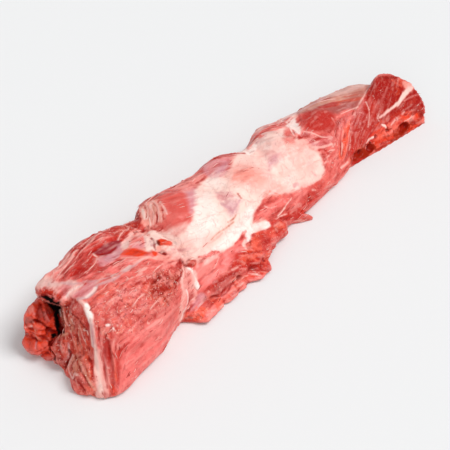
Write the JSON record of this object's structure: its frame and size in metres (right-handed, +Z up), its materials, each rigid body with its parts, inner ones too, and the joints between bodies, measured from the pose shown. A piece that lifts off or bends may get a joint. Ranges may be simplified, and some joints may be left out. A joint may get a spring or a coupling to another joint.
{
  "type": "raw boiling beef",
  "caption": "Long raw boneless beef neck piece with a folded thick end, rounded rib prints, a ragged trimmed edge and an obliquely sliced far end.",
  "frame": {"origin": "middle of the bounding box in plan, on the flat underside", "axes": "+X along the length, from the thick folded end to the sliced end; +Y towards the steep side with the rib prints; +Z up"},
  "size_m": [0.4748, 0.112, 0.0574],
  "materials": {
    "raw_beef": "wet raw meat, red lean with creamy fat and pale membrane, glossy where it is moist"
  },
  "bodies": {
    "root": {"boiling_beef": "raw_beef"}
  },
  "joints": []
}
